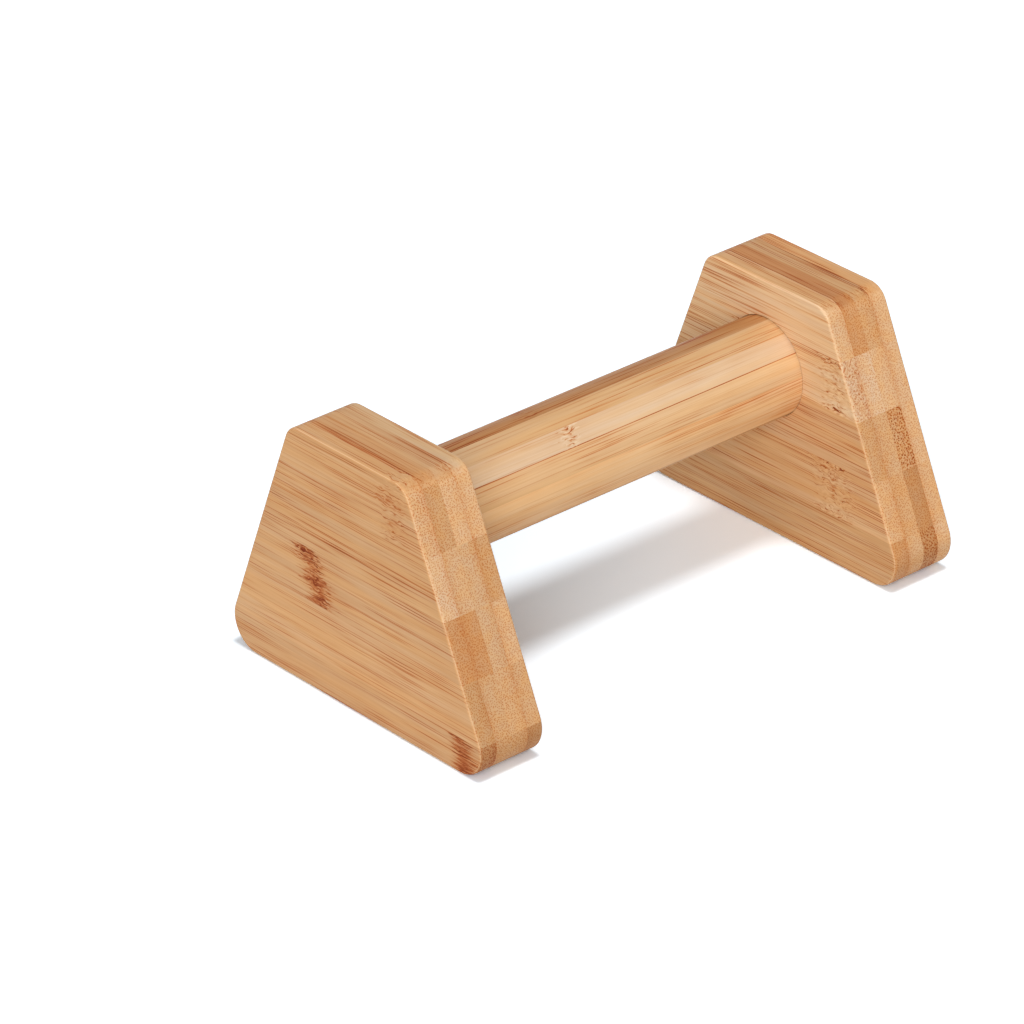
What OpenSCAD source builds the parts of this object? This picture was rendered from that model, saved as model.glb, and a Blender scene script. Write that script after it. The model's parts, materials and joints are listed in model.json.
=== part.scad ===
// Low parallette: two laminated bamboo end blocks joined by a round laminated bamboo grip bar.
// X runs along the bar, Y from front (-) to rear (+), Z up. The origin is on the floor, in the middle.
// Every glued strip of bamboo is a piece of its own. All lengths are in millimetres, angles in degrees.

/* [Overall] */
// Length over the outer faces of the two end blocks
overall_length = 230; // [180:1:400]
// Height of the end blocks
block_height = 105; // [98:1:150]
// Depth of the end blocks at the foot, front to back
block_depth = 140; // [120:1:200]

/* [End blocks] */
// Lean of the slanted sides away from upright
side_lean = 22.6; // [8:0.1:25]
// Radius of the two lower corners
foot_corner_r = 12; // [5:0.5:16]
// Radius of the two upper corners
top_corner_r = 9; // [5:0.5:14]
// Radius that the rims of both faces are rounded to
rim_r = 1.2; // [0.6:0.1:3]

/* [Lamination of the blocks] */
// Thickness of one ply
ply_thickness = 7.3; // [5:0.1:10]
// Plies in a block
ply_count = 4; // [3:1:5]
// Width of one strip of bamboo
strip_width = 21.7; // [16:0.1:28]
// Height of the left block's lowest seam, where its bottom strips were cut down
left_first_seam = 14.8; // [4:0.1:21]
// Height of the right block's lowest seam
right_first_seam = 20.5; // [4:0.1:21]
// Least height of a top strip, under which the strip below it reaches the top
thinnest_strip = 1; // [0.5:0.1:3]

/* [Grip bar] */
// Diameter of the bar
bar_diameter = 40; // [30:0.5:44]
// Height of the bar's axis above the floor
bar_height = 69.5; // [55:0.5:72]
// Thickness of one ply of the bar
bar_ply_thickness = 8.3; // [6:0.1:12]
// Turn of the bar's plies about its axis: 0 lays them flat, more tips their upper face to the rear
bar_turn = 47; // [0:1:90]
// Chamfer on both ends of the bar
bar_chamfer = 1; // [0.2:0.1:2]

/* [Sockets] */
// Plies that each blind socket goes through, counted from the block's inner face
socket_plies = 2; // [1:1:2]
// Glue gap all round the bar in its sockets
socket_clearance = 0.2; // [0.05:0.05:0.4]
// Row of strips, counted from the foot, that meets the sockets in a front and a rear piece
cut_row = 4; // [3:1:4]

/* [Hidden] */
$fn = 96;
block_thickness = ply_count * ply_thickness;
socket_r = bar_diameter / 2 + socket_clearance;
bar_length = overall_length - 2 * (ply_count - socket_plies) * ply_thickness;
bar_ply_count = ceil(bar_diameter / bar_ply_thickness);

// Outline of a block, as its four corner arcs counterclockwise: centre, radius, first and last angle.
// A sharp corner would lie further out than its arc, by this share of the arc's radius at the foot
// and by this share inwards along the top.
foot_reach = (1 + sin(side_lean)) / cos(side_lean) - 1;
top_setback = (1 - sin(side_lean)) / cos(side_lean);
sharp_foot_y = block_depth / 2 + foot_corner_r * foot_reach;
sharp_top_y = sharp_foot_y - block_height * tan(side_lean);
foot_y = block_depth / 2 - foot_corner_r;
top_y = sharp_top_y - top_corner_r * top_setback;
top_z = block_height - top_corner_r;
corners = [
    [[foot_y, foot_corner_r], foot_corner_r, -90, side_lean],
    [[top_y, top_z], top_corner_r, side_lean, 90],
    [[-top_y, top_z], top_corner_r, 90, 180 - side_lean],
    [[-foot_y, foot_corner_r], foot_corner_r, 180 - side_lean, 270]
];

// Depth of the bands that close the outline between its corners, and of the core inside them. The slanted
// bands lie a hair under the arcs that they join, so that the two surfaces cross and don't only touch.
band = (rim_r + min(foot_corner_r, top_corner_r)) / 2;
core_inset = (rim_r + band) / 2;
hair = 0.01;

// Each block: name, height of its lowest seam, whether it is the mirrored one,
// and the tone of each strip, a row from the foot up and a ply from the outer face in
blocks = [
    ["left", left_first_seam, false,
        [[3, 2, 2, 3], [2, 0, 0, 1], [3, 3, 0, 0], [0, 0, 0, 3], [1, 3, 0, 0], [1, 2, 2, 0]]],
    ["right", right_first_seam, true,
        [[0, 3, 1, 2], [1, 3, 2, 1], [0, 3, 1, 2], [0, 0, 0, 1], [0, 2, 3, 0]]]
];
// Tone of each strip of the bar, front and rear, from its upper ply down
bar_tones = [[2, 1], [1, 2], [0, 1], [1, 0], [1, 2]];
tones = [[0.88, 0.72, 0.52], [0.84, 0.65, 0.43], [0.78, 0.55, 0.33], [0.68, 0.43, 0.24]];

function direction(angle) = [cos(angle), sin(angle)];
function wrapped(list, i) = list[i % len(list)];

// Seams of a block: its rows are counted from the foot, and a row that is the last reaches the top
function row_count(block) = 1 + ceil((block_height - block[1] - thinnest_strip) / strip_width);
function seam(block, row) = row == 0 ? 0 :
    row == row_count(block) ? block_height : block[1] + (row - 1) * strip_width;

// A strip with a socket is two pieces in the cut row, and wherever the socket is higher than the strip
function has_socket(ply) = ply > ply_count - socket_plies;
function is_cut(block, row, ply) = has_socket(ply) && (row == cut_row ||
    (seam(block, row - 1) > bar_height - socket_r && seam(block, row) < bar_height + socket_r));
halves = ["front", "rear"];
function pieces(block, row, ply) = is_cut(block, row, ply) ? halves : ["whole"];
function strip_name(block, row, ply, piece) =
    str(block[0], "_row", row, "_ply", ply, piece == "whole" ? "" : str("_", piece));
function bar_name(ply, half) = str("bar_ply", ply, "_", half);

// Section through the block up to its edge at the given depth, rounded where it is the rim of a face
module edge_section(depth, on_rim)
    if (on_rim) {
        flat = depth - rim_r;
        polygon([[0, 0], [flat, 0], [flat, rim_r], [depth, rim_r], [depth, block_thickness], [0, block_thickness]]);
        translate([flat, 0])
            intersection() {
                translate([0, rim_r]) circle(rim_r);
                square(rim_r);
            }
    } else
        square([depth, block_thickness]);

// A board with the block's outline: a core, closed by a disc at each corner and a band between corners
module board(on_rim) {
    linear_extrude(block_thickness)
        polygon([for (corner = corners) each
            [for (angle = [corner[2], corner[3]]) corner[0] + direction(angle) * (corner[1] - core_inset)]]);
    for (i = [0 : len(corners) - 1]) {
        corner = corners[i];
        next = wrapped(corners, i + 1);
        angle = corner[3];
        inset = band + hair * abs(cos(angle));
        from = corner[0] + direction(angle) * (corner[1] - inset);
        to = next[0] + direction(angle) * (next[1] - inset);
        translate(corner[0]) rotate_extrude() edge_section(corner[1], on_rim);
        translate(to) rotate([0, 0, angle]) rotate([90, 0, 0])
            linear_extrude(norm(to - from)) edge_section(band, on_rim);
    }
}

// The board that a ply is cut from: with the rim of the outer face, with that of the inner face, or plain
// and reaching past the ply on both sides
module board_for(ply)
    if (ply == ply_count)
        translate([0, 0, block_thickness]) mirror([0, 0, 1]) board(true);
    else
        translate([0, 0, ply == 1 ? 0 : -ply_thickness / 2]) board(ply == 1);

// Stands a block up at its end of the bar, from lying on its outer face
module stand(block)
    mirror([block[2] ? 1 : 0, 0, 0])
        translate([-overall_length / 2, 0, 0]) rotate([90, 0, 90]) children();

// One strip of a block
module strip(block, row, ply, piece) {
    front = piece == "rear" ? 0 : -block_depth;
    rear = piece == "front" ? 0 : block_depth;
    low = seam(block, row - 1);
    color(tones[wrapped(wrapped(block[3], row - 1), ply - 1)])
        stand(block)
            difference() {
                intersection() {
                    board_for(ply);
                    translate([front, low, (ply - 1) * ply_thickness])
                        cube([rear - front, seam(block, row) - low, ply_thickness]);
                }
                if (has_socket(ply)) translate([0, bar_height, 0]) cylinder(h = 2 * block_thickness, r = socket_r);
            }
}

// The turned bar along X, with chamfered ends
module whole_bar() {
    r = bar_diameter / 2;
    translate([-bar_length / 2, 0, bar_height]) rotate([0, 90, 0])
        rotate_extrude()
            polygon([
                [0, 0], [r - bar_chamfer, 0], [r, bar_chamfer],
                [r, bar_length - bar_chamfer], [r - bar_chamfer, bar_length], [0, bar_length]
            ]);
}

// One strip of the bar: plies are counted from the upper one down
module bar_strip(ply, half)
    color(tones[wrapped(wrapped(bar_tones, ply - 1), half == "front" ? 0 : 1)])
        intersection() {
            whole_bar();
            translate([-bar_length, 0, bar_height]) rotate([-bar_turn, 0, 0])
                translate([
                    0, half == "front" ? -bar_diameter : 0,
                    (bar_ply_count / 2 - ply) * bar_ply_thickness
                ])
                    cube([2 * bar_length, bar_diameter, bar_ply_thickness]);
        }

for (block = blocks, row = [1 : row_count(block)], ply = [1 : ply_count])
    for (piece = pieces(block, row, ply))
        strip(block, row, ply, piece);

for (ply = [1 : bar_ply_count], half = halves)
    bar_strip(ply, half);
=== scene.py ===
"""Looks of the parallette bar: oiled bamboo strips on a white floor, under soft studio light."""

import json
import math
import random
from types import SimpleNamespace

import bpy
from mathutils import Matrix, Quaternion, Vector


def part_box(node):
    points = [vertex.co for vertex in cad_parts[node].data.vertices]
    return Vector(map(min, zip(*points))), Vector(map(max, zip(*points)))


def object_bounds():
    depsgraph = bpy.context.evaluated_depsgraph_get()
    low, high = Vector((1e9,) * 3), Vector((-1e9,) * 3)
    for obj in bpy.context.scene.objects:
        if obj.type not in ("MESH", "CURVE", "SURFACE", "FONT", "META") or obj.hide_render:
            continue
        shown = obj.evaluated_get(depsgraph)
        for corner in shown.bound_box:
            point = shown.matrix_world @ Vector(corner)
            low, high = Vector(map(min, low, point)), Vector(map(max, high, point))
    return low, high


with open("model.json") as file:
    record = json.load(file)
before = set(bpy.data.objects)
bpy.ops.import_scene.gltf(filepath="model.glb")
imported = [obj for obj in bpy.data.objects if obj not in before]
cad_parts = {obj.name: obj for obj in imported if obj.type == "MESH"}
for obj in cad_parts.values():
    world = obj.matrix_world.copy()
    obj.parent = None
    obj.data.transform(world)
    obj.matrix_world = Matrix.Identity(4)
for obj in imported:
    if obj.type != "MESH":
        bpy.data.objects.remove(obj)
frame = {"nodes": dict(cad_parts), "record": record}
cad_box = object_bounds()

MM = 0.001

# Camera, as fitted to the object's outline in the photograph. The aim is off the object's centre.
CAMERA_AZIMUTH = math.radians(-40.66)
CAMERA_ELEVATION = math.radians(28.26)
CAMERA_ROLL = math.radians(-1.57)
CAMERA_DISTANCE = 2.3631
CAMERA_AIM_RIGHT = -0.03004
CAMERA_AIM_UP = -0.01091
CAMERA_REACH = 50
FOCAL_LENGTH_IN_PICTURES = 6.3042

# Lamps, by name: the direction that the light comes from, its strength and how large the lamp looks.
# A third part comes from a sky that is brighter in front of the object.
LAMPS = {
    "overhead": ((0, -0.155, 1), 1.42, math.radians(14.5)),
    "front": ((-0.65, -0.62, 0.39), 1.56, math.radians(36)),
}
SKY_FRONT = Vector((-0.70, -0.68, 0.22)).normalized()
SKY_DARK = 0.16
SKY_BRIGHT = 0.50
# Cosines of the angles from the sky's front at which it is darkest and brightest
SKY_FADE = (-0.4, 1.0)
FLOOR_RADIUS = 8.0
FLOOR_SIDES = 64
FLOOR_COLOUR = (0.68, 0.66, 0.62)
FLOOR_SEEN_COLOUR = (1.25, 1.375, 1.475)

# The bar's plies, turned about its axis
BAR_TURN = math.radians(47)
BAR_PLY_THICKNESS = 8.3  # mm
BAR_PLY_COUNT = 5
# The only glue line that shows on the bar is the one under this ply
BAR_DARK_SEAM = 3
# Rows: along the grain, across it and through the strip
BLOCK_AXES = Matrix(((0, 1, 0), (0, 0, 1), (1, 0, 0)))
BAR_AXES = Matrix.Rotation(BAR_TURN, 3, "X")
FAR = 1e3  # mm, stands for a side of a strip that has no glue line

# Colours of the tones of bamboo, four of them by material slot: on end grain, along the grain of a block
# and along the grain of the bar
TONES = {
    "bamboo_washed": ((0.690, 0.440, 0.250), (0.700, 0.430, 0.225), (0.690, 0.450, 0.265)),
    "bamboo_pale": ((0.680, 0.405, 0.205), (0.668, 0.360, 0.161), (0.665, 0.428, 0.245)),
    "bamboo_light": ((0.665, 0.380, 0.180), (0.625, 0.320, 0.133), (0.655, 0.388, 0.188)),
    "bamboo_medium": ((0.625, 0.340, 0.150), (0.560, 0.265, 0.102), (0.605, 0.325, 0.138)),
    # Along the bar the dark tone is partly painted shade, for the bar's upper edge
    "bamboo_dark": ((0.560, 0.275, 0.110), (0.500, 0.205, 0.070), (0.450, 0.205, 0.075)),
}
ON_END, ON_BLOCK, ON_BAR = range(3)
# Strips whose tone along the grain isn't that of their material slot
FACE_TONES = {
    "left_row1_ply1": "bamboo_pale", "left_row2_ply1": "bamboo_pale", "left_row3_ply1": "bamboo_pale",
    "left_row5_ply1": "bamboo_pale", "left_row6_ply2": "bamboo_light", "left_row6_ply3": "bamboo_light",
    "right_row1_ply4": "bamboo_pale", "right_row2_ply4": "bamboo_pale", "right_row3_ply4": "bamboo_pale",
    "right_row4_ply4_front": "bamboo_washed", "right_row4_ply4_rear": "bamboo_washed",
    # bar_ply1_front is dark partly in its own tone and partly as painted shade along the bar's upper edge
    "right_row5_ply4": "bamboo_washed", "right_row5_ply1": "bamboo_light", "bar_ply1_front": "bamboo_dark",
}
# and whose tone on end grain isn't that of their material slot
END_TONES = {
    "left_row2_ply2": "bamboo_light", "left_row2_ply3": "bamboo_light", "left_row4_ply1": "bamboo_washed",
    "left_row4_ply4_front": "bamboo_medium", "left_row5_ply1": "bamboo_pale",
    "left_row5_ply2": "bamboo_medium", "right_row1_ply4": "bamboo_dark", "right_row3_ply2": "bamboo_medium",
    "right_row4_ply3_front": "bamboo_washed", "right_row4_ply4_front": "bamboo_washed",
}
# Strips that are lighter or darker than their tone, by factor, on end grain and along the grain
SHADES = {
    "left_row1_ply1": (0.88, 0.94), "left_row1_ply2": (0.93, 0.93), "left_row1_ply3": (0.93, 0.93),
    "left_row1_ply4": (0.86, 0.85), "left_row2_ply1": (0.86, 1.0), "left_row2_ply2": (0.89, 1.0),
    "left_row2_ply3": (0.93, 1.0), "left_row2_ply4": (0.92, 1.0), "left_row3_ply1": (1.0, 0.98),
    "left_row3_ply3": (0.90, 1.0), "left_row3_ply4": (0.97, 1.0), "left_row4_ply1": (0.98, 0.97),
    "left_row4_ply2": (0.93, 1.0), "left_row4_ply3_front": (0.90, 1.0), "left_row4_ply4_front": (0.93, 1.0),
    "left_row5_ply1": (0.98, 1.0), "left_row5_ply2": (0.93, 1.0), "left_row6_ply2": (1.0, 0.93),
    "left_row6_ply3": (1.0, 0.93), "right_row1_ply2": (0.90, 1.0), "right_row1_ply3": (0.95, 1.0),
    # On the right block's inner face (ply4) the face factor rises from the lowest row to the top: partly
    # painted shade under the bar and painted light above it
    "right_row1_ply4": (1.0, 0.87), "right_row2_ply2": (0.91, 1.0), "right_row2_ply4": (1.0, 0.98),
    "right_row3_ply2": (0.95, 1.0), "right_row3_ply3": (0.94, 1.0), "right_row3_ply4": (0.95, 0.99),
    "right_row4_ply4_front": (0.98, 1.06), "right_row4_ply4_rear": (1.0, 1.08),
    "right_row5_ply2": (1.0, 0.93), "right_row5_ply3": (1.06, 0.90), "right_row5_ply4": (1.0, 1.13),
    # On the bar, bar_ply2_front is darkened and bar_ply4_front and bar_ply5_front lightened, partly as
    # painted shade on its top and painted light on its underside
    "bar_ply2_front": (1.0, 0.95), "bar_ply4_front": (1.0, 1.05), "bar_ply5_front": (1.0, 1.20),
}
# Strips whose tone on the top of a block isn't that of their face: the tone and a factor on it
# The top tones are partly the wood's own and partly painted shade and light on the tops
TOP_TONES_AND_SHADE = {
    "left_row6_ply1": ("bamboo_pale", 0.90), "left_row6_ply2": ("bamboo_medium", 0.97),
    "left_row6_ply3": ("bamboo_pale", 0.85), "left_row6_ply4": ("bamboo_washed", 0.85),
    "right_row5_ply2": ("bamboo_pale", 0.81), "right_row5_ply3": ("bamboo_dark", 0.95),
    "right_row5_ply4": ("bamboo_pale", 0.90),
}

# How strong the streaks along the grain are
STREAKINESS = {"left": 0.95, "right": 1.2, "bar": 0.6, "bar_ply1_front": 1.0, "bar_ply3_front": 0.4}
# Strips with coarse, dark bundles on their end grain
COARSENESS = {"right_row3_ply2": 1.0, "right_row4_ply4_front": 0.45, "right_row1_ply2": 0.8}

# Node marks that show: place along the grain at the middle of the strip's width, lean per mm of width and
# half of the mark's length along the grain, all in mm, then how stained and how speckled it is
NODE_MARKS = {
    "left_row3_ply1": (21.5, 0.44, 8.5, 1.0, 0.5),
    "left_row5_ply1": (-24.0, 0.1, 8.5, 0.40, 0.35),
    "left_row1_ply1": (-59.5, 0.2, 6.5, 0.95, 0.2),
    "right_row4_ply4_front": (-38.0, 0.1, 9.0, 0.1, 0.8),
    "right_row2_ply4": (-36.0, 0.1, 10.0, 0.1, 0.8),
    "bar_ply1_front": (-30.0, 0.0, 5.0, 0.35, 0.3),
    "bar_ply3_front": (-22.0, 0.0, 4.5, 0.15, 1.0),
}
# The other strips' marks are drawn by chance: how far from the middle, how much they lean, half of their
# length, and the stains and specks to choose from
CHANCE_SEED = 11
CHANCE_PLACE = 55
CHANCE_LEAN = 0.2
CHANCE_HALF_LENGTH = 6.0
CHANCE_STAINS = ((0, 0), (0, 0), (0.1, 0.5), (0.4, 0.4))

# Soft patterns in the wood: how large their features are in mm, along the grain, across it and through
# the strip, then their detail and how rough it is
NOISES = {
    "streaks": ((220, 0.62, 0.62), 3.0, 0.6),
    "broad": ((170, 6, 6), 1.0, 0.5),
    "patches": ((24, 10, 10), 2.0, 0.5),
    "fibres": ((26, 0.33, 0.33), 1.0, 0.5),
    "fibrous": ((50, 7, 7), 1.0, 0.5),
    "hue": ((90, 5, 5), 2.0, 0.5),
    "specks": ((3.4, 0.9, 0.9), 1.0, 0.5),
}
# Fibre bundles: how far apart they are in mm, and how far from its axis a bundle starts to fade and ends
BUNDLES = {
    "fine": ((75, 0.68, 0.68), 0.06, 0.46),
    "lines": ((110, 1.25, 1.25), 0.03, 0.19),
    "flecks": ((13, 13, 13), 0.03, 0.06),
}
# and those that are cut across, where they show as dots, or run in a sheet as crisp lines
DOTS = ((0.78, 0.78, 1), 0.12, 0.46)
COARSE_DOTS = ((1.05, 1.05, 1), 0.10, 0.52)
CRISP_LINES = ((90, 0.72, 1), 0.16, 0.33)
BUNDLE_RANDOMNESS = 0.9
# How the sheet of crisp lines leans in a strip
BLOCK_LINE_SLOPE = 1
BAR_LINE_SLOPE = -0.25

# How the grain wanders, in mm: the shift from one strip to the next, and a slow sway
STRIP_SHIFT = (37.1, 17.3, 11.7)
SWAY_SIZE = (45, 14, 14)
SWAY = (0, 0.7, 0.7)
# A speckled node mark swirls the grain
SWIRL_SIZE = (5, 2.5, 2.5)
SWIRL = 6.0

# Edges of a node mark, in mm, then where the mark and its trail fade, in half lengths of the mark
RAGGED_SIZE = (14, 0.7, 0.7)
RAGGED = 16.0
UNEVEN_SIZE = (40, 6, 6)
UNEVEN = 8.0
MARK_FADE = (1.25, 0.2)
TRAIL_START = (-3.8, -0.6)
TRAIL_END = (0.8, 0.0)

# The shares of the surface's normal between which end grain, a top, a ply's face and a rim begin
END_GRAIN = (0.35, 0.85)
TOP = (0.7, 0.9)
FLECKED_TOP = (0.8, 0.95)
NOT_A_FACE = (0.9, 0.5)
RIM_INSIDE = (0.62, 0.74)
RIM_OUTSIDE = (0.88, 0.78)

# What lightens or darkens the wood, by name: the value at which it does nothing, and its weight
PLAIN_LIGHT = 0.59
STREAK_WEIGHTS = {
    "streaks": (0.5, 0.55), "lines": (0.0, -0.12), "fine": (0.2, -0.15), "fibrous": (0.0, 0.9),
    "crisp": (0.2, -0.37),
}
BROAD_WEIGHTS = {"broad": (0.5, 0.45), "patches": (0.5, 0.36)}
LIGHT_WEIGHTS = {
    "dots": (0.0, -1.0), "dense": (0.0, -0.15), "coarse": (0.0, -0.38), "soft": (0.0, 1.0),
    "on_end": (0.0, 0.025), "stained": (0.0, -0.37), "trailing": (0.0, -0.32), "speckled": (0.0, 2.0),
    "flecks": (0.0, 0.3),
}
DARKEST_STREAK = -0.36
STREAK_ROUNDING = 0.10
# How strong the dots on end grain are, and by how much less where a ply is dense
DOT_STRENGTH = 0.33
DENSE_DOT_LOSS = 0.15
# From the middle of a ply at 0 to its dense side at 1
DENSE_FADE = (-0.1, 1.1)
# Noise between which the wood turns fibrous, and how strong fibres and crisp lines are where it isn't
FIBROUS_FADE = (0.36, 0.60)
PLAIN_FIBRES = 0.35
PLAIN_CRISP_LINES = 0.75
# How much of the streaks is lost on end grain
END_STREAK_LOSS = 0.75
# Noise between which a mark is stained, its trail shows, a rim is worn and painted with a highlight, and the
# hue changes
STAIN_FADE = (0.10, 0.50)
TRAIL_FADE = (0.42, 0.62)
WEAR_AND_HIGHLIGHT_FADE = (0.30, 0.55)
HUE_FADE = (0.3, 0.7)
SPECK_LIGHT = 0.04
HEIGHT_WEIGHTS = {"fine": (0.0, -0.4), "dots": (0.0, -2.0), "fibres": (0.5, 0.6), "glue": (0.0, -4.0)}

# Glue lines: from and to how far in mm from a side they fade, between plies and between rows
PLY_GLUE = (0.30, 0.05)
ROW_GLUE = (0.25, 0.05)
ROW_GLUE_STRENGTH = 0.35
BAR_GLUE_STRENGTH = 0.50
BLOCK_GLUE_LOSS = 0.34
END_GLUE_LOSS = 0.12

# How strongly the rims are painted paler, and in what colour: partly wear, partly a painted highlight on the
# rounded rim
RIM_WEAR_AND_HIGHLIGHT = 0.4
RIM_COLOUR = (0.88, 0.67, 0.45)
# What a tone is multiplied by as the wood goes from dark to light
SHADING = [
    (0.0, (0.22, 0.06, 0.02)), (0.2, (0.465, 0.22, 0.118)), (0.36, (0.595, 0.448, 0.355)),
    (0.5, (0.667, 0.667, 0.667)), (0.75, (0.73, 0.79, 0.86)), (1.0, (0.78, 0.90, 1.0)),
]
# What the tone and its shading are multiplied by, at the two ends of their slow change of hue
WARM_TINT = (1.53, 1.46, 1.33)
COOL_TINT = (1.48, 1.52, 1.62)
ROUGHNESS = 0.52
ROUGHNESS_BY_LIGHT = (0.5, -0.22)
SPECULAR_LEVEL = 0.12
BUMP_DEPTH = 0.02 * MM

BAMBOO_INPUTS = {
    "NodeSocketVector": ("Place", "Normal", "Low sides", "High sides"),
    "NodeSocketColor": ("End tone", "Face tone", "Top tone and shade"),
    "NodeSocketFloat": (
        "Seed", "Wear and highlight", "Ply middle", "Dense side", "Streakiness", "Coarseness", "Mark place", "Mark lean",
        "Mark half length", "Stain", "Specks", "Line slope",
    ),
}
BAMBOO_OUTPUTS = {"NodeSocketColor": ("Color",), "NodeSocketFloat": ("Roughness", "Height")}


# Node trees

def add(tree, kind, inputs=None, **settings):
    """Adds a node to a tree. An input is a plain value or another node's output."""
    node = tree.nodes.new(kind)
    for name, value in settings.items():
        setattr(node, name, value)
    for name, value in (inputs or {}).items():
        if isinstance(value, bpy.types.NodeSocket):
            tree.links.new(value, node.inputs[name])
        else:
            node.inputs[name].default_value = value
    return node


def math_of(tree, operation, a, b=0.0, c=0.0):
    return add(tree, "ShaderNodeMath", {0: a, 1: b, 2: c}, operation=operation).outputs[0]


def vector_of(tree, operation, a, b=(0, 0, 0)):
    return add(tree, "ShaderNodeVectorMath", {0: a, 1: b}, operation=operation).outputs[0]


def product(tree, first, *others):
    total = first
    for other in others:
        total = math_of(tree, "MULTIPLY", total, other)
    return total


def separate(tree, vector):
    return add(tree, "ShaderNodeSeparateXYZ", {"Vector": vector}).outputs


def combine(tree, x, y, z=0.0):
    return add(tree, "ShaderNodeCombineXYZ", {"X": x, "Y": y, "Z": z}).outputs[0]


def smooth(tree, value, start, end):
    """0 up to start and 1 from end on, or the other way round where end is the lower one."""
    return add(tree, "ShaderNodeMapRange", {
        "Value": value, "From Min": start, "From Max": end, "To Min": 0.0, "To Max": 1.0,
    }, interpolation_type="SMOOTHSTEP").outputs["Result"]


def mixed(tree, factor, first, second):
    """The first colour where the factor is 0, and the second one where it is 1."""
    return add(tree, "ShaderNodeMix", {"Factor": factor, 6: first, 7: second}, data_type="RGBA").outputs[2]


def noise(tree, place, size, detail=2.0, roughness=0.5, output="Fac"):
    """Noise from 0 to 1 whose features have the given size in mm along the grain, across and through."""
    scaled = vector_of(tree, "DIVIDE", place, size)
    return add(tree, "ShaderNodeTexNoise", {
        "Vector": scaled, "Scale": 1.0, "Detail": detail, "Roughness": roughness,
    }).outputs[output]


def bundles(tree, place, size, near, far, dimensions="3D"):
    """Fibre bundles: 1 on a bundle's axis and 0 away from it, dots on end grain and streaks along it."""
    scaled = vector_of(tree, "DIVIDE", place, size)
    distance = add(tree, "ShaderNodeTexVoronoi", {
        "Vector": scaled, "Scale": 1.0, "Randomness": BUNDLE_RANDOMNESS,
    }, voronoi_dimensions=dimensions).outputs["Distance"]
    return smooth(tree, distance, far, near)


def weighted(tree, base, terms):
    """base plus the sum of weight times (value minus middle)."""
    total = base
    for value, middle, weight in terms:
        part = math_of(tree, "MULTIPLY_ADD", value, weight, -middle * weight)
        total = math_of(tree, "ADD", part, total)
    return total


def weighted_by_name(tree, base, values, weights):
    return weighted(tree, base, [(values[name], *weight) for name, weight in weights.items()])


def opaque(colour):
    return (*colour, 1)


# Bamboo

def make_bamboo():
    """The node group that all strips share. Its place is in mm: along the grain, across and through."""
    tree = bpy.data.node_groups.new("bamboo", "ShaderNodeTree")
    for way, sockets in (("INPUT", BAMBOO_INPUTS), ("OUTPUT", BAMBOO_OUTPUTS)):
        for kind, names in sockets.items():
            for name in names:
                tree.interface.new_socket(name, in_out=way, socket_type=kind)
    given = tree.nodes.new("NodeGroupInput").outputs
    result = tree.nodes.new("NodeGroupOutput")

    facing = find_facing(tree, given["Normal"])
    mark, trail = node_mark(tree, given)
    wood = patterns(tree, wandering_grain(tree, given, mark), given["Line slope"])
    wood["on_end"] = facing.end
    add_end_grain(tree, wood, given, facing)
    add_streaks(tree, wood, given)
    add_marks(tree, wood, given, mark, trail)
    light = weighted_by_name(tree, PLAIN_LIGHT, wood, LIGHT_WEIGHTS)
    wood["glue"] = glue_lines(tree, given, facing)

    colour = wood_colour(tree, wood, given, facing, weighted(tree, light, [(wood["glue"], 0.0, -1.0)]))
    # The rims are painted paler: partly wear, partly a painted highlight
    colour = mixed(tree, rim_wear_and_highlight(tree, wood, given, facing), colour, opaque(RIM_COLOUR))
    tree.links.new(colour, result.inputs["Color"])
    tree.links.new(weighted(tree, ROUGHNESS, [(light, *ROUGHNESS_BY_LIGHT)]), result.inputs["Roughness"])
    tree.links.new(weighted_by_name(tree, 1.0, wood, HEIGHT_WEIGHTS), result.inputs["Height"])
    return tree


def find_facing(tree, normal):
    """How far the surface faces up or down and out of a ply, and how far it is end grain."""
    endwards, upwards, outwards = separate(tree, vector_of(tree, "ABSOLUTE", normal))
    return SimpleNamespace(up=upwards, out=outwards, end=smooth(tree, endwards, *END_GRAIN))


def node_mark(tree, given):
    """How strongly a point lies in the strip's node, and in the streaks that trail from it."""
    grain, across, _ = separate(tree, given["Place"])
    lean = product(tree, across, given["Mark lean"])
    along = math_of(tree, "SUBTRACT", math_of(tree, "SUBTRACT", grain, given["Mark place"]), lean)
    ragged = noise(tree, given["Place"], RAGGED_SIZE, 2.0)
    uneven = noise(tree, given["Place"], UNEVEN_SIZE, 1.0)
    along = weighted(tree, along, [(ragged, 0.5, RAGGED), (uneven, 0.5, UNEVEN)])
    along = math_of(tree, "DIVIDE", along, given["Mark half length"])
    mark = smooth(tree, math_of(tree, "ABSOLUTE", along), *MARK_FADE)
    trail = product(tree, smooth(tree, along, *TRAIL_START), smooth(tree, along, *TRAIL_END))
    return mark, trail


def wandering_grain(tree, given, mark):
    """The place in the wood, which is another one for each strip and sways and swirls a little."""
    shift = vector_of(tree, "MULTIPLY", STRIP_SHIFT, combine(tree, *[given["Seed"]] * 3))
    place = vector_of(tree, "ADD", given["Place"], shift)
    sway = noise(tree, place, SWAY_SIZE, 1.0, output="Color")
    sway = vector_of(tree, "MULTIPLY", vector_of(tree, "SUBTRACT", sway, (0.5, 0.5, 0.5)), SWAY)
    place = vector_of(tree, "ADD", place, sway)
    swirl = weighted(tree, 0.0, [(noise(tree, place, SWIRL_SIZE, 1.0), 0.5, SWIRL)])
    swirl = product(tree, mark, given["Specks"], swirl)
    return vector_of(tree, "ADD", place, combine(tree, 0.0, swirl, swirl))


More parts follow.
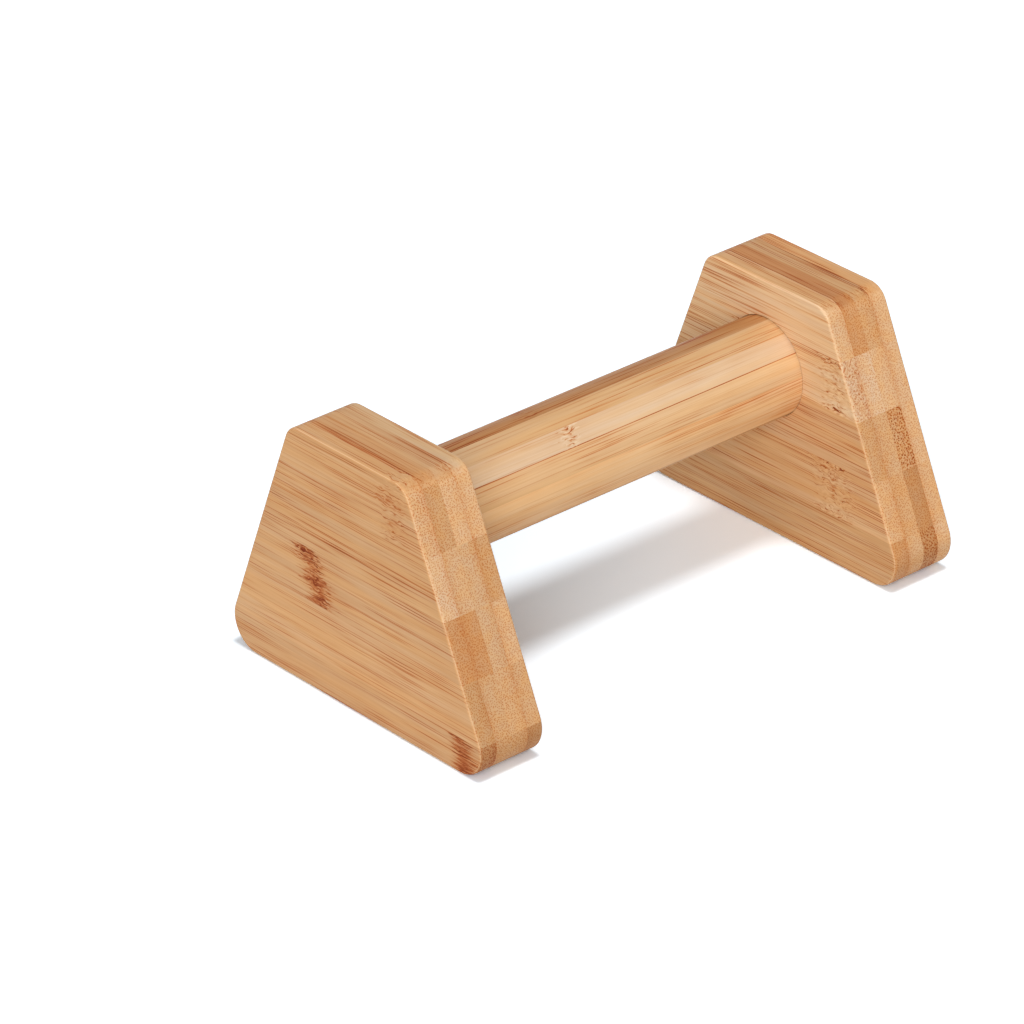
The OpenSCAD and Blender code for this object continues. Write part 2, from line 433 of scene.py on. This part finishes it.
def patterns(tree, place, line_slope):
    """The patterns in the wood, by name."""
    along, across, through = separate(tree, place)
    section = combine(tree, across, through)
    sheet = combine(tree, along, math_of(tree, "MULTIPLY_ADD", across, line_slope, through))
    wood = {name: noise(tree, place, *shape) for name, shape in NOISES.items()}
    wood |= {name: bundles(tree, place, *shape) for name, shape in BUNDLES.items()}
    wood["dots"] = bundles(tree, section, *DOTS, dimensions="2D")
    wood["coarse"] = bundles(tree, section, *COARSE_DOTS, dimensions="2D")
    wood["crisp"] = bundles(tree, sheet, *CRISP_LINES, dimensions="2D")
    return wood


def add_end_grain(tree, wood, given, facing):
    """Dots on end grain. A ply is denser and darker towards the side that was the outside of the culm."""
    _, _, through = separate(tree, given["Place"])
    to_dense = product(tree, math_of(tree, "SUBTRACT", through, given["Ply middle"]), given["Dense side"])
    wood["dense"] = product(tree, smooth(tree, to_dense, *DENSE_FADE), smooth(tree, facing.out, *NOT_A_FACE))
    dot_strength = weighted(tree, DOT_STRENGTH, [(wood["dense"], 0.0, -DENSE_DOT_LOSS)])
    wood["dots"] = product(tree, wood["dots"], facing.end, dot_strength)
    wood["coarse"] = product(tree, wood["coarse"], facing.end, given["Coarseness"])
    wood["flecks"] = product(tree, wood["flecks"], smooth(tree, facing.up, *FLECKED_TOP), given["Wear and highlight"])


def add_streaks(tree, wood, given):
    """Streaks and lines along the grain, which hardly show on end grain."""
    patch = smooth(tree, wood["fibrous"], *FIBROUS_FADE)
    fibres = weighted(tree, 0.0, [(wood["fibres"], 0.5, 1.0)])
    fibre_strength = weighted(tree, PLAIN_FIBRES, [(patch, 0.0, 1 - PLAIN_FIBRES)])
    wood["fibrous"] = product(tree, fibres, fibre_strength)
    not_on_end = weighted(tree, 1.0, [(wood["on_end"], 0.0, -1.0)])
    line_strength = weighted(tree, PLAIN_CRISP_LINES, [(patch, 0.0, 1 - PLAIN_CRISP_LINES)])
    wood["crisp"] = product(tree, wood["crisp"], not_on_end, line_strength)
    soft = product(tree, weighted_by_name(tree, 0.0, wood, STREAK_WEIGHTS), given["Streakiness"])
    soft = math_of(tree, "SMOOTH_MAX", soft, DARKEST_STREAK, STREAK_ROUNDING)
    wood["on_face"] = weighted(tree, 1.0, [(wood["on_end"], 0.0, -END_STREAK_LOSS)])
    wood["soft"] = product(tree, weighted_by_name(tree, soft, wood, BROAD_WEIGHTS), wood["on_face"])


def add_marks(tree, wood, given, mark, trail):
    """The stains and specks of the node mark, and the streaks that trail from it."""
    stain = product(tree, mark, given["Stain"])
    wood["stained"] = product(tree, stain, smooth(tree, wood["specks"], *STAIN_FADE))
    wood["trailing"] = product(tree, trail, given["Stain"], smooth(tree, wood["fibres"], *TRAIL_FADE))
    uneven = weighted(tree, SPECK_LIGHT, [(wood["specks"], 0.5, 1.0)])
    wood["speckled"] = product(tree, mark, wood["on_face"], given["Specks"], uneven)


def glue_lines(tree, given, facing):
    """Glue lines along the sides that meet another strip, faint on the blocks."""
    low = vector_of(tree, "SUBTRACT", given["Place"], given["Low sides"])
    high = vector_of(tree, "SUBTRACT", given["High sides"], given["Place"])
    _, to_row, to_ply = separate(tree, vector_of(tree, "MINIMUM", low, high))
    row_line = product(tree, smooth(tree, to_row, *ROW_GLUE), ROW_GLUE_STRENGTH)
    line = math_of(tree, "MAXIMUM", smooth(tree, to_ply, *PLY_GLUE), row_line)
    losses = [(facing.end, 0.0, -END_GLUE_LOSS), (given["Wear and highlight"], 0.0, -BLOCK_GLUE_LOSS)]
    strength = weighted(tree, BAR_GLUE_STRENGTH, losses)
    return product(tree, line, strength)


def wood_colour(tree, wood, given, facing, light):
    """The tone of the side that shows, shaded by how light the wood is, with a slow change of hue."""
    tone = mixed(tree, facing.end, given["Face tone"], given["End tone"])
    # On a block's top the top tone takes over, which is partly painted shade and light
    tone = mixed(tree, smooth(tree, facing.up, *TOP), tone, given["Top tone and shade"])
    shading = add(tree, "ShaderNodeValToRGB", {"Fac": light})
    set_stops(shading.color_ramp, SHADING)
    colour = vector_of(tree, "MULTIPLY", tone, shading.outputs["Color"])
    tint = mixed(tree, smooth(tree, wood["hue"], *HUE_FADE), opaque(WARM_TINT), opaque(COOL_TINT))
    return vector_of(tree, "MULTIPLY", colour, tint)


def set_stops(ramp, stops):
    """Fills a new colour ramp, which has a stop at each end."""
    for element, (position, colour) in zip(ramp.elements, (stops[0], stops[-1])):
        element.position = position
        element.color = opaque(colour)
    for position, colour in stops[1:-1]:
        ramp.elements.new(position).color = opaque(colour)


def rim_wear_and_highlight(tree, wood, given, facing):
    """The rounded rims between a block's faces and its sides are painted paler: partly wear, partly a
    painted highlight.
    """
    rim = product(tree, smooth(tree, facing.out, *RIM_INSIDE), smooth(tree, facing.out, *RIM_OUTSIDE))
    return product(tree, rim, given["Wear and highlight"], smooth(tree, wood["streaks"], *WEAR_AND_HIGHLIGHT_FADE), RIM_WEAR_AND_HIGHLIGHT)


def strip_material(name, group, axes, origin, values):
    """A strip's own material. Axes and origin bring a point of the row to the strip's axes, in mm."""
    material = bpy.data.materials.new(name)
    material.use_nodes = True
    tree = material.node_tree
    shader = tree.nodes["Principled BSDF"]
    point = add(tree, "ShaderNodeTexCoord").outputs
    turn = axes.to_euler()
    normal = add(tree, "ShaderNodeMapping", {"Vector": point["Normal"], "Rotation": turn}).outputs[0]
    place = add(tree, "ShaderNodeMapping", {
        "Vector": point["Object"], "Location": -(axes @ origin) / MM, "Rotation": turn,
        "Scale": Vector((1, 1, 1)) / MM,
    }).outputs[0]
    bamboo = add(tree, "ShaderNodeGroup", node_tree=group)
    tree.links.new(place, bamboo.inputs["Place"])
    tree.links.new(normal, bamboo.inputs["Normal"])
    for socket, value in values.items():
        bamboo.inputs[socket].default_value = value
    tree.links.new(bamboo.outputs["Color"], shader.inputs["Base Color"])
    tree.links.new(bamboo.outputs["Roughness"], shader.inputs["Roughness"])
    bump = add(tree, "ShaderNodeBump", {"Height": bamboo.outputs["Height"], "Distance": BUMP_DEPTH})
    tree.links.new(bump.outputs[0], shader.inputs["Normal"])
    shader.inputs["Specular IOR Level"].default_value = SPECULAR_LEVEL
    return material


# Strips

def dress():
    """Gives every strip its material."""
    group = make_bamboo()
    slots = {part["node"]: part["material_slot"] for part in frame["record"]["subparts"]}
    boxes = {owner: joined_box([name for name in frame["nodes"] if name.startswith(owner)])
             for owner in ("left", "right", "bar")}
    chance = random.Random(CHANCE_SEED)
    for number, (name, strip) in enumerate(sorted(frame["nodes"].items())):
        owner = name.split("_")[0]
        lie = lie_in_bar if owner == "bar" else lie_in_block
        axes, origin, height, values = lie(name, *boxes[owner])
        values |= mark_values(name, height, chance) | tone_values(name, owner, slots[name])
        values["Seed"] = float(number)
        values["Streakiness"] = STREAKINESS.get(name, STREAKINESS[owner])
        values["Coarseness"] = COARSENESS.get(name, 0)
        strip.data.materials.clear()
        strip.data.materials.append(strip_material(name, group, axes, origin, values))


def lie_in_bar(name, bar_low, bar_high):
    """How a strip of the bar lies: its axes and their origin, its height from there, and its values."""
    _, ply, piece = name.split("_")
    ply = number_in(ply)
    middle = (BAR_PLY_COUNT / 2 - ply + 0.5) * BAR_PLY_THICKNESS
    half = BAR_PLY_THICKNESS / 2
    values = side_values(
        glued(0, 0, piece == "rear", piece == "front"),
        glued(middle - half, middle + half, ply == BAR_DARK_SEAM, ply == BAR_DARK_SEAM + 1),
    )
    values |= {"Wear and highlight": 0, "Ply middle": middle, "Dense side": 0, "Line slope": BAR_LINE_SLOPE}
    return BAR_AXES, (bar_low + bar_high) / 2, 0, values


def lie_in_block(name, block_low, block_high):
    """The same for a strip of a block."""
    owner, _, ply, *_ = name.split("_")
    low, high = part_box(name)
    half_a_mm = MM / 2
    values = side_values(
        glued(low.z / MM, high.z / MM, low.z > block_low.z + half_a_mm, high.z < block_high.z - half_a_mm),
        glued(low.x / MM, high.x / MM, low.x > block_low.x + half_a_mm, high.x < block_high.x - half_a_mm),
    )
    # The dense sides of the first two plies from the outer face are glued together, and so on
    dense_way = (1 if number_in(ply) % 2 else -1) * (-1 if owner == "right" else 1)
    values |= {
        "Wear and highlight": 1, "Ply middle": (low.x + high.x) / 2 / MM, "Line slope": BLOCK_LINE_SLOPE,
        "Dense side": dense_way / ((high.x - low.x) / 2 / MM),
    }
    return BLOCK_AXES, Vector((0, 0, 0)), (low.z + high.z) / 2 / MM, values


def number_in(word):
    """The number that a word such as row2 or ply3 ends with."""
    return int(word[3:])


def glued(low, high, is_low_glued, is_high_glued):
    """Where two opposite sides have glue lines, or FAR where they have none."""
    return (low if is_low_glued else -FAR, high if is_high_glued else FAR)


def side_values(row_sides, ply_sides):
    return {
        "Low sides": (-FAR, row_sides[0], ply_sides[0]), "High sides": (FAR, row_sides[1], ply_sides[1]),
    }


def mark_values(name, height, chance):
    """The strip's node mark. The draws are made for every strip, also where the mark is a given one."""
    drawn = (chance.uniform(-CHANCE_PLACE, CHANCE_PLACE), chance.uniform(-CHANCE_LEAN, CHANCE_LEAN),
             CHANCE_HALF_LENGTH, *chance.choice(CHANCE_STAINS))
    place, lean, half_length, stain, specks = NODE_MARKS.get(name, drawn)
    return {
        "Mark place": place - lean * height, "Mark lean": lean, "Mark half length": half_length,
        "Stain": stain, "Specks": specks,
    }


def tone_values(name, owner, slot):
    """The strip's tones on end grain, along the grain and on the top of a block, where the tone is partly
    painted shade and light.
    """
    along = ON_BAR if owner == "bar" else ON_BLOCK
    end_shade, face_shade = SHADES.get(name, (1, 1))
    face = (FACE_TONES.get(name, slot), face_shade)
    top, top_shade = TOP_TONES_AND_SHADE.get(name, face)
    return {
        "End tone": shaded(END_TONES.get(name, slot), ON_END, end_shade),
        "Face tone": shaded(face[0], along, face_shade), "Top tone and shade": shaded(top, along, top_shade),
    }


def shaded(tone, side, shade):
    return opaque([shade * channel for channel in TONES[tone][side]])


def joined_box(names):
    corners = [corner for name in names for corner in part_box(name)]
    return (Vector([min(c[i] for c in corners) for i in range(3)]),
            Vector([max(c[i] for c in corners) for i in range(3)]))


# Floor, light and camera

def ray_is_seen(tree):
    """1 for the rays by which the background shows: straight, in a reflection or through glass."""
    path = add(tree, "ShaderNodeLightPath").outputs
    seen = math_of(tree, "ADD", path["Is Camera Ray"], path["Is Glossy Ray"])
    return math_of(tree, "MINIMUM", math_of(tree, "ADD", seen, path["Is Transmission Ray"]), 1.0)


def make_floor():
    bpy.ops.mesh.primitive_circle_add(vertices=FLOOR_SIDES, radius=FLOOR_RADIUS, fill_type="NGON")
    floor = bpy.context.object
    floor.name = "floor"
    material = bpy.data.materials.new("floor")
    material.use_nodes = True
    tree = material.node_tree
    tree.nodes.remove(tree.nodes["Principled BSDF"])
    colour = mixed(tree, ray_is_seen(tree), opaque(FLOOR_COLOUR), opaque(FLOOR_SEEN_COLOUR))
    surface = add(tree, "ShaderNodeBsdfDiffuse", {"Color": colour})
    tree.links.new(surface.outputs[0], tree.nodes["Material Output"].inputs["Surface"])
    floor.data.materials.append(material)


def make_sky():
    """A sky that lights the object from the front, and shows as plain white."""
    world = bpy.data.worlds.new("sky")
    bpy.context.scene.world = world
    world.use_nodes = True
    tree = world.node_tree
    direction = add(tree, "ShaderNodeTexCoord").outputs["Generated"]
    towards = add(tree, "ShaderNodeVectorMath", {0: direction, 1: SKY_FRONT}, operation="DOT_PRODUCT")
    bright = smooth(tree, towards.outputs["Value"], *SKY_FADE)
    lit = math_of(tree, "MULTIPLY_ADD", bright, SKY_BRIGHT - SKY_DARK, SKY_DARK)
    seen = ray_is_seen(tree)
    level = math_of(tree, "ADD", product(tree, lit, math_of(tree, "SUBTRACT", 1.0, seen)), seen)
    tree.links.new(level, tree.nodes["Background"].inputs["Strength"])
    tree.nodes["Background"].inputs["Color"].default_value = (1, 1, 1, 1)


def make_lamps():
    for name, (direction, strength, softness) in LAMPS.items():
        light = bpy.data.lights.new(name, "SUN")
        light.energy = strength
        light.angle = softness
        lamp = bpy.data.objects.new(name, light)
        lamp.location = Vector(direction).normalized()
        lamp.rotation_euler = (-lamp.location).to_track_quat("-Z", "Y").to_euler()
        bpy.context.scene.collection.objects.link(lamp)


def make_camera():
    low, high = cad_box
    centre = (low + high) / 2
    back = Vector((
        math.sin(CAMERA_AZIMUTH) * math.cos(CAMERA_ELEVATION),
        -math.cos(CAMERA_AZIMUTH) * math.cos(CAMERA_ELEVATION), math.sin(CAMERA_ELEVATION),
    ))
    right = (-back).cross(Vector((0, 0, 1))).normalized()
    up = right.cross(-back)
    data = bpy.data.cameras.new("camera")
    data.lens = FOCAL_LENGTH_IN_PICTURES * data.sensor_width
    data.clip_end = CAMERA_REACH
    camera = bpy.data.objects.new("camera", data)
    camera.location = centre + back * CAMERA_DISTANCE
    aim = centre + right * CAMERA_AIM_RIGHT + up * CAMERA_AIM_UP
    level = (aim - camera.location).to_track_quat("-Z", "Y")
    camera.rotation_euler = (level @ Quaternion((0, 0, 1), CAMERA_ROLL)).to_euler()
    bpy.context.scene.collection.objects.link(camera)
    bpy.context.scene.camera = camera


make_camera()
dress()
make_floor()
make_sky()
make_lamps()
bpy.context.scene.view_settings.view_transform = "Standard"
